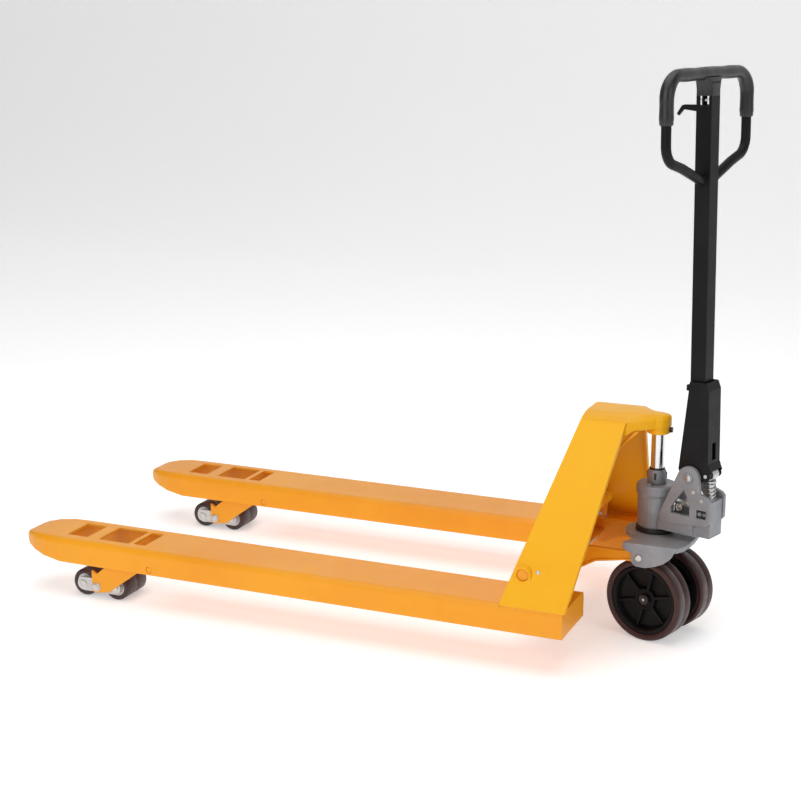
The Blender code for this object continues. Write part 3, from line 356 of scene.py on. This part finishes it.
def piece(name, bm, looks, body, place=PLAIN, hides=(), bevel=0.0, sharp=38.0):
    """Finish a bmesh as a piece that rides on a body."""
    bm.transform(place)
    bmesh.ops.recalc_face_normals(bm, faces=bm.faces)
    mesh = bpy.data.meshes.new(name)
    bm.to_mesh(mesh)
    bm.free()
    obj = bpy.data.objects.new(name, mesh)
    bpy.context.scene.collection.objects.link(obj)
    for look in looks:
        mesh.materials.append(look)
    mesh.shade_smooth()
    mesh.set_sharp_from_angle(angle=math.radians(sharp))
    if bevel:
        mod = obj.modifiers.new("edges", "BEVEL")
        mod.width = bevel
        mod.segments = 2
        mod.limit_method = "ANGLE"
        mod.angle_limit = math.radians(38.0)
    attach(obj, body)
    if hides:
        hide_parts(*hides)
    return obj


# ----------------------------------------------------------- steering wheels
def steer_tyre(side, sign):
    """Moulded tread with rounded shoulders."""
    half = WHEEL_HALF
    outer = [(0.0762, half - 0.0024), (0.0800, half - 0.0002), (0.0845, half)]
    outer += [(0.0845 + a, half - 0.0055 + b) for a, b in arc(0.0, 0.0, 0.0055, 90.0, 0.0, 6)]
    profile = outer + [(0.09, 0.0006), (0.0896, 0.0)]
    profile += [(r, -h) for r, h in reversed(outer + [(0.09, 0.0006)])]
    bm = bmesh.new()
    turn(bm, profile, (WHEEL_X, sign * WHEEL_MID, WHEEL_Z), "Y", 128)
    piece("tyre_" + side, bm, [TREAD], "steer_wheel_" + side, STEERED, ["steer_tyre_" + side])


def steer_hub(side, sign):
    """Ribbed hub whose recessed face points away from the other wheel."""
    centre = (WHEEL_X, sign * WHEEL_MID, WHEEL_Z)
    bm = bmesh.new()
    rim = [(0.0640, -0.0223), (0.0757, -0.0223), (0.0757, 0.0223), (0.0680, 0.0223), (0.0655, 0.0190),
           (0.0620, 0.0050), (0.0250, 0.0030), (0.0238, 0.0125), (0.0215, 0.0145), (0.0180, 0.0145),
           (0.0175, 0.0125), (0.0103, 0.0125), (0.0103, -0.0210), (0.0240, -0.0210), (0.0250, -0.0040),
           (0.0600, -0.0050)]
    profile = [(r, sign * h) for r, h in soft(rim, 0.0016, 2)]
    turn(bm, profile, centre, "Y", 96)
    for i in range(6):
        t = math.radians(60.0 * i + 15.0)
        for low, high in ((0.002, 0.0132), (-0.0170, -0.003)):
            bar = [(0.0200, -0.0032), (0.0665, -0.0022), (0.0665, 0.0022), (0.0200, 0.0032)]
            rib = []
            for u, v in soft(bar, 0.0006, 1):
                across = u * math.cos(t) - v * math.sin(t)
                up = u * math.sin(t) + v * math.cos(t)
                rib.append((centre[0] + across, centre[2] + up))
            extrude(bm, rib, centre[1] + sign * low, centre[1] + sign * high)
    piece("hub_" + side, bm, [NYLON], "steer_wheel_" + side, STEERED,
          ["steer_hub_" + side], bevel=0.0005)


for label, way in SIDES:
    steer_tyre(label, way)
    steer_hub(label, way)

shaft = bmesh.new()
end = [(0.0, -0.0693), (0.0085, -0.0693), (0.0099, -0.0685), (0.0099, -0.0672), (0.0086, -0.0672),
       (0.0086, -0.0656), (0.0100, -0.0656)]
turn(shaft, end + [(r, -h) for r, h in reversed(end)], (WHEEL_X, 0.0, WHEEL_Z), "Y", 64)
piece("axle_shaft", shaft, [DARK_STEEL], "pump", STEERED, ["wheel_axle"])
for label, way in SIDES:
    clip = bmesh.new()
    points = [(a, way * 0.0664, b) for a, b in arc(WHEEL_X, WHEEL_Z, 0.0102, -250.0, 70.0, 40)]
    sweep(clip, points, [0.0011] * len(points), 8)
    dot = [(0.0, 0.0690), (0.0030, 0.0690), (0.0026, 0.0699), (0.0, 0.0700)]
    turn(clip, [(r, way * h) for r, h in dot], (WHEEL_X, 0.0, WHEEL_Z), "Y", 24, 1)
    piece("axle_clip_" + label, clip, [DARK_STEEL, ZINC], "pump", STEERED)


# --------------------------------------------------------------- load wheels
def load_roller(where, side, sign):
    """Load roller with a light end ring inside a dark tread."""
    x = ROLLER_XS[where]
    half = [(0.0063, 0.0429), (0.0142, 0.0429), (0.0145, 0.0392), (0.0205, 0.0392), (0.0215, 0.0418),
            (0.0268, 0.0420), (0.0295, 0.0405), (0.0310, 0.0375), (0.0310, 0.0006), (0.0308, 0.0)]
    profile = half + [(r, -h) for r, h in reversed(half[:-1])]
    bm = bmesh.new()
    turn(bm, profile, (x, sign * FORK_Y, TANDEM_PIVOT[1]), "Y", 80)
    for face in bm.faces:
        mid = face.calc_center_median()
        if math.hypot(mid.x - x, mid.z - TANDEM_PIVOT[1]) < 0.0205:
            face.material_index = 1
    piece("roller_%s_%s" % (where, side), bm, [DARK_TREAD, LIGHT_CAP], "roller_%s_%s" % (where, side),
          PLAIN, ["load_roller_%s_%s" % (where, side)])


for label, way in SIDES:
    for spot in ("front", "rear"):
        load_roller(spot, label, way)
        cap = bmesh.new()
        for face_side in (-1.0, 1.0):
            dome = [(0.0, 0.0487), (0.0088, 0.0487), (0.0084, 0.0500), (0.0060, 0.0507), (0.0, 0.0508)]
            turn(cap, [(r, face_side * h) for r, h in dome],
                 (ROLLER_XS[spot], way * FORK_Y, TANDEM_PIVOT[1]), "Y", 32)
        piece("rivet_%s_%s" % (spot, label), cap, [ZINC], "tandem_" + label, PLAIN)
    cap = bmesh.new()
    for face_side in (-1.0, 1.0):
        head = [(0.0, 0.0573), (0.0105, 0.0573), (0.0103, 0.0590), (0.0080, 0.0600), (0.0072, 0.0622),
                (0.0, 0.0624)]
        turn(cap, [(r, face_side * h) for r, h in head],
             (TANDEM_PIVOT[0], way * FORK_Y, TANDEM_PIVOT[1]), "Y", 36)
    piece("tandem_head_" + label, cap, [LIGHT_CAP], "wheel_frame_" + label, PLAIN)
    nuts = bmesh.new()
    for at in (-1.0260, -0.2260):
        ring = ngon((way * FORK_Y, ROD_Z), 0.0118, 6, 0.3)
        extrude(nuts, ring, at, at + 0.0075, "X")
    piece("rod_nuts_" + label, nuts, [ZINC], "push_rod_" + label, PLAIN, bevel=0.0008)


# --------------------------------------------------------- welds on the frame
def plate_y(z):
    """Outer face of the side plate at a height."""
    return 0.345 - (z - 0.137) * 0.265 / 0.338


def front_x(z):
    """Front edge of the upright at a height."""
    return -0.232 + (z - 0.137) * 0.2515


def rear_x(z):
    """Rear edge of the upright at a height."""
    return -0.092 + (z - 0.137) * 0.1243


for label, way in SIDES:
    seams = bmesh.new()
    low, inner = 0.1428, 0.0066
    y = way * (plate_y(low) - inner)
    weld(seams, [(front_x(low) + 0.006, y, low), (rear_x(low) - 0.008, y, low)], 0.0026)
    line = []
    for z in (0.160, 0.445):
        line.append((front_x(z) + 0.0052, way * (plate_y(z) - 0.0072), z))
    weld(seams, line, 0.0022)
    run = [(front_x(low) - 0.0008, way * yy, 0.1432) for yy in (0.205, 0.325)]
    weld(seams, run, 0.0022)
    crease = [(x, way * 0.3416, 0.1378) for x in (front_x(0.138) + 0.004, rear_x(0.138) - 0.004)]
    weld(seams, crease, 0.0026)
    piece("frame_weld_" + label, seams, [ORANGE], "fork_frame", PLAIN)
    boss = bmesh.new()
    y = plate_y(SHAFT[1])
    ring = soft([(0.0128, 0.0040), (0.0182, 0.0040), (0.0178, 0.0064), (0.0136, 0.0066)], 0.0006, 2)
    turn(boss, [(r, way * (y + h)) for r, h in ring], (SHAFT[0], 0.0, SHAFT[1]), "Y", 48)
    piece("boss_lip_" + label, boss, [YELLOW], "fork_frame", PLAIN)
    screw = bmesh.new()
    z = SHAFT[1] + 0.006
    y = plate_y(z)
    dome = soft([(0.0, -0.002), (0.0046, -0.002), (0.0046, 0.0012), (0.0030, 0.0026), (0.0, 0.0030)],
                0.0006, 2)
    turn(screw, [(r, way * (y + h)) for r, h in dome], (SHAFT[0] + 0.030, 0.0, z), "Y", 28)
    piece("grease_plug_" + label, screw, [LIGHT_CAP], "fork_frame", PLAIN)

# bulkhead with its skirt and a tongue that closes the front of the head
wall = bmesh.new()
edge_low, edge_high = plate_y(0.1425) - 0.0070, plate_y(0.4520) - 0.0070
half = [(0.1985, 0.1040), (0.1985, 0.1425), (edge_low, 0.1425), (edge_high, 0.4520), (0.0735, 0.4520),
        (0.0735, 0.4697), (0.0520, 0.4748), (0.0300, 0.4780)]
ring = half + [(-y, z) for y, z in reversed(half)]
rows = [[wall.verts.new((front_x(z) + depth, y, z)) for y, z in ring] for depth in (0.0002, 0.0042)]
for j in range(len(ring)):
    k = (j + 1) % len(ring)
    wall.faces.new((rows[0][j], rows[0][k], rows[1][k], rows[1][j]))
for row in rows:
    wall.faces.new(row)
piece("bulkhead_plate", wall, [ORANGE], "fork_frame", PLAIN, ["bulkhead"], bevel=0.0006)

# raised rims along the edges of the two rocker arms
rims = bmesh.new()
for label, way in SIDES:
    low, high = sorted((way * ARM_OUTER_Y, way * (ARM_OUTER_Y + 0.0018)))
    top = [(-0.172, 0.2065), (-0.124, 0.2040), (-0.045, 0.2030), (-0.008, 0.2118), (-0.010, 0.2070),
           (-0.045, 0.1985), (-0.124, 0.1990), (-0.172, 0.2010)]
    extrude(rims, soft(top, 0.003, 2), low, high)
    foot = [(-0.020, 0.1845), (-0.040, 0.1822), (-0.100, 0.1722), (-0.136, 0.1515), (-0.168, 0.1600),
            (-0.166, 0.1640), (-0.139, 0.1565), (-0.102, 0.1770), (-0.040, 0.1868), (-0.022, 0.1885)]
    extrude(rims, soft(foot, 0.003, 2), low, high)
piece("arm_rims", rims, [ORANGE], "rocker", PLAIN, bevel=0.0007)

# --------------------------------------------------------------- ram and pump
ram = bmesh.new()
rod = [(0.0, 0.2500), (0.0125, 0.2500), (0.0143, 0.2520), (0.0143, 0.4680), (0.0128, 0.4698),
       (0.0, 0.4700)]
turn(ram, rod, (0.0, 0.0, 0.0), "Z", 80)
piece("ram_rod", ram, [CHROME], "ram", STEERED, ["ram"])
nut = bmesh.new()
gland = soft([(0.0152, 0.3310), (0.0205, 0.3310), (0.0205, 0.3520), (0.0188, 0.3596), (0.0165, 0.3618),
              (0.0150, 0.3618)], 0.0008, 2)
turn(nut, gland, (0.0, 0.0, 0.0), "Z", 72)
for i in range(4):
    t = math.radians(90.0 * i + 20.0)
    spot = (0.0190 * math.cos(t), 0.0190 * math.sin(t))
    extrude(nut, ngon(spot, 0.0026, 10), 0.3420, 0.3560, "Z", 1)
piece("gland_cap", nut, [GREY, DARK_STEEL], "pump", STEERED, ["gland_nut"])
wiper = bmesh.new()
turn(wiper, soft([(0.0146, 0.3612), (0.0168, 0.3612), (0.0160, 0.3650), (0.0148, 0.3656)], 0.0004, 2),
     (0.0, 0.0, 0.0), "Z", 64)
piece("wiper_seal", wiper, [GRIP], "pump", STEERED)
ring = bmesh.new()
turn(ring, soft([(0.0246, 0.2269), (0.0410, 0.2269), (0.0410, 0.2361), (0.0246, 0.2361)], 0.0012, 3),
     (0.0, 0.0, 0.0), "Z", 96)
piece("bearing_ring", ring, [DARK_STEEL], "yoke", PLAIN, ["thrust_ring"])

# return spring, with a mesh of its own
coil = bmesh.new()
turns, low, high, steps = 6.0, 0.3024, 0.3530, 168
path = []
for i in range(steps + 1):
    t = 2.0 * math.pi * turns * i / steps
    path.append((PISTON_X + 0.0103 * math.cos(t), 0.0103 * math.sin(t), low + (high - low) * i / steps))
sweep(coil, path, [0.0015] * len(path), 10)
coil = piece("return_spring", coil, [ZINC], "pump", STEERED, ["piston_spring"])
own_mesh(coil)

# caps and clips on the pump's ears
dots = bmesh.new()
for way in (-1.0, 1.0):
    dome = [(0.0, 0.0376), (0.0068, 0.0376), (0.0066, 0.0388), (0.0048, 0.0395), (0.0, 0.0396)]
    turn(dots, [(r, way * h) for r, h in dome], (TILT.x, 0.0, TILT.z), "Y", 32)
piece("shaft_caps", dots, [ZINC], "handle", TILTED)
fittings = bmesh.new()
for way in (-1.0, 1.0):
    clip = [(a, way * 0.0369, b) for a, b in arc(*RELEASE_AXIS, 0.0062, -250.0, 70.0, 36)]
    sweep(fittings, clip, [0.0009] * len(clip), 8)
    for x, z in ((0.1085, 0.3385), (0.1280, 0.3230)):
        head = [(0.0, 0.0360), (0.0042, 0.0360), (0.0042, 0.0384), (0.0034, 0.0392), (0.0018, 0.0392),
                (0.0018, 0.0380), (0.0, 0.0380)]
        turn(fittings, [(r, way * h) for r, h in head], (x, 0.0, z), "Y", 24)
piece("ear_fittings", fittings, [ZINC], "pump", STEERED)
# pocket floor with two screws; the dark plate on the floor is painted shade for the inside of the
# pocket
pocket = bmesh.new()
shade_floor = [(0.1168, 0.2838), (0.1382, 0.2838), (0.1382, 0.3017), (0.1168, 0.3017)]
# painted shade: a blackened plate laid on the pocket floor
extrude(pocket, soft(shade_floor, 0.001, 2), -0.0309, -0.0301)
for x, r in ((0.1222, 0.0043), (0.1330, 0.0035)):
    head = [(0.0, -0.0305), (r, -0.0305), (r, -0.0335), (r - 0.0008, -0.0342), (r * 0.5, -0.0342),
            (r * 0.5, -0.0326), (0.0, -0.0326)]
    turn(pocket, head, (x, 0.0, POCKET_SCREW_Z), "Y", 28, 1)
piece("valve_pocket_shade", pocket, [DARK_STEEL, GREY], "pump", STEERED)


# ------------------------------------------------------------------- handle
def loop_path(fine):
    """Centre line of the handle loop from the near to the far tube joint."""
    half = [(0.0180, 0.9762), (0.060, 0.9925), (0.100, 1.0080)]
    half += arc(0.122, 1.0560, 0.040, -66.0, 0.0, 7 * fine)
    half += [(LOOP_HALF, 1.0750), (LOOP_HALF, 1.0942), (LOOP_HALF, 1.1180)]
    half += arc(LOOP_HALF - 0.045, LOOP_TOP - 0.045, 0.045, 0.0, 90.0, 8 * fine)
    half += [(0.090, LOOP_TOP), (0.060, LOOP_TOP), (0.030, LOOP_TOP)]
    near = [(TUBE_X, -y, z) for y, z in half]
    far = [(TUBE_X, y, z) for y, z in reversed(half)]
    return near + [(TUBE_X, 0.0, LOOP_TOP)] + far


bar = bmesh.new()
path = loop_path(2)
sweep(bar, path, [0.0100] * len(path), 32)
piece("loop_tube", bar, [BLACK], "handle", TILTED, ["handle_loop"])
cover = bmesh.new()
path = dense([p for p in loop_path(2) if p[2] > GRIP_END_Z], 0.004)
radii = []
for i, p in enumerate(path):
    from_end = min(i, len(path) - 1 - i)
    swell = 0.0143 - 0.0012 * math.exp(-((p[2] - LOOP_TOP) / 0.02) ** 2)
    if from_end == 0:
        radii.append(0.0124)
    elif from_end < 3:
        radii.append(0.0138)
    else:
        radii.append(swell + 0.0004 * math.cos(from_end * 0.35))
sweep(cover, path, radii, 40)
piece("grip_cover", cover, [GRIP], "handle", TILTED, ["handle_grip"])

# weld beads where the loop meets the tube and the tube meets its foot
joints = bmesh.new()
for way in (-1.0, 1.0):
    round_joint = []
    for a, b in arc(0.0, 0.0, 0.0104, 0.0, 360.0, 30):
        round_joint.append((TUBE_X + a, way * (TUBE_HALF + 0.0016 + 0.04 * b), LOOP_JOINT_Z + b))
    weld(joints, round_joint, 0.0019)
    edge = TUBE_HALF + 0.0006
    ends = [(TUBE_X + side * edge, way * edge, TUBE_WELD_Z) for side in (-1.0, 1.0)]
    weld(joints, ends, 0.0018)
for x in (TUBE_X - 0.0176, TUBE_X + 0.0176):
    weld(joints, [(x, -TUBE_HALF, TUBE_WELD_Z), (x, TUBE_HALF, TUBE_WELD_Z)], 0.0018)
piece("handle_welds", joints, [BLACK], "handle", TILTED)
# flared saddle between the drawbar's top and the grip
saddle = bmesh.new()
rows = []
for z, half_x, half_y in ((1.1440, 0.0176, 0.0178), (1.1560, 0.0176, 0.0186), (1.1660, 0.0172, 0.0212),
                          (1.1740, 0.0164, 0.0250), (1.1800, 0.0152, 0.0290)):
    corners = [(-half_x, -half_y), (half_x, -half_y), (half_x, half_y), (-half_x, half_y)]
    rows.append([saddle.verts.new((TUBE_X + a, b, z)) for a, b in soft(corners, 0.004, 4)])
for lower, upper in zip(rows, rows[1:]):
    for j in range(len(lower)):
        k = (j + 1) % len(lower)
        saddle.faces.new((lower[j], lower[k], upper[k], upper[j]))
saddle.faces.new(rows[0])
saddle.faces.new(rows[-1])
piece("grip_saddle", saddle, [GRIP], "handle", TILTED)
# ends of the cross pins in the tube
trim = bmesh.new()
for x, z, r in ((0.0955, 1.1360, 0.0026), (0.1060, 1.1360, 0.0026), (0.0990, 0.9760, 0.0028)):
    for way in (-1.0, 1.0):
        head = [(0.0, 0.0168), (r, 0.0168), (r * 0.9, 0.0178), (r * 0.5, 0.0184), (0.0, 0.0185)]
        turn(trim, [(a, way * b) for a, b in head], (x, 0.0, z), "Y", 20)
piece("roll_pins", trim, [ZINC], "handle", TILTED)

# ---------------------------------------------------------------- the studio
backdrop = bpy.data.materials.new("studio_paper")
backdrop.use_nodes = True
paper = backdrop.node_tree
paper_shader = paper.nodes["Principled BSDF"]
spot = put(paper, "ShaderNodeTexCoord").outputs["Object"]
paper.links.new(tint(paper, noise(paper, spot, 1.3, 3.0), (0.90, 0.90, 0.90), (0.93, 0.93, 0.93)),
                paper_shader.inputs["Base Color"])
paper_shader.inputs["Roughness"].default_value = 0.85
paper_shader.inputs["Emission Color"].default_value = (1.0, 1.0, 1.0, 1.0)
paper_shader.inputs["Emission Strength"].default_value = 0.40
sheet = bmesh.new()
FLOOR_FRONT, WALL_Y, WALL_R, WALL_TOP, SHEET_HALF = -9.0, 7.0, 3.0, 11.0, 14.0
run = [(FLOOR_FRONT, -0.0005), (WALL_Y - WALL_R, -0.0005)]
run += [(WALL_Y - WALL_R + a, WALL_R + b) for a, b in arc(0.0, 0.0, WALL_R, -88.0, 0.0, 20)]
run += [(WALL_Y, WALL_TOP)]
columns = [[sheet.verts.new((x, y, z)) for y, z in run] for x in (-SHEET_HALF, SHEET_HALF)]
for i in range(len(run) - 1):
    sheet.faces.new((columns[0][i], columns[0][i + 1], columns[1][i + 1], columns[1][i]))
sheet_mesh = bpy.data.meshes.new("studio_sheet")
sheet.to_mesh(sheet_mesh)
sheet.free()
sheet_mesh.materials.append(backdrop)
sheet_mesh.shade_smooth()
studio = bpy.data.objects.new("studio_sheet", sheet_mesh)
bpy.context.scene.collection.objects.link(studio)


def lamp(name, where, aim, size, watts):
    """Square soft light aimed at a point."""
    light = bpy.data.lights.new(name, "AREA")
    light.shape = "SQUARE"
    light.size = size
    light.energy = watts
    obj = bpy.data.objects.new(name, light)
    obj.location = where
    obj.rotation_mode = "QUATERNION"
    obj.rotation_quaternion = (Vector(aim) - Vector(where)).to_track_quat("-Z", "Y")
    bpy.context.scene.collection.objects.link(obj)


lamp("top_soft", (0.0, -0.4, 4.2), (0.0, 0.0, 0.2), 4.5, 118.0)
lamp("front_soft", (-0.6, -4.6, 2.4), (0.0, 0.0, 0.3), 3.4, 80.0)
lamp("right_soft", (4.2, -1.6, 2.2), (0.3, 0.0, 0.4), 2.6, 34.0)
world = bpy.data.worlds.new("studio_air")
world.use_nodes = True
world.node_tree.nodes["Background"].inputs["Color"].default_value = (1.0, 1.0, 1.0, 1.0)
world.node_tree.nodes["Background"].inputs["Strength"].default_value = 0.12
bpy.context.scene.world = world

camera_data = bpy.data.cameras.new("camera")
camera_data.sensor_width = 36.0
camera_data.lens = 72.96
camera_data.dof.use_dof = False
camera_data.clip_end = 60.0
camera = bpy.data.objects.new("camera", camera_data)
camera.location = (1.42530, -3.25636, 1.33300)
camera.rotation_mode = "QUATERNION"
aim = Vector((0.03252, 0.0, 0.45229)) - Vector(camera.location)
camera.rotation_quaternion = aim.to_track_quat("-Z", "Y")
bpy.context.scene.collection.objects.link(camera)
bpy.context.scene.camera = camera

# plain colour transform, so that the yellow stays saturated
bpy.context.scene.view_settings.view_transform = "Standard"
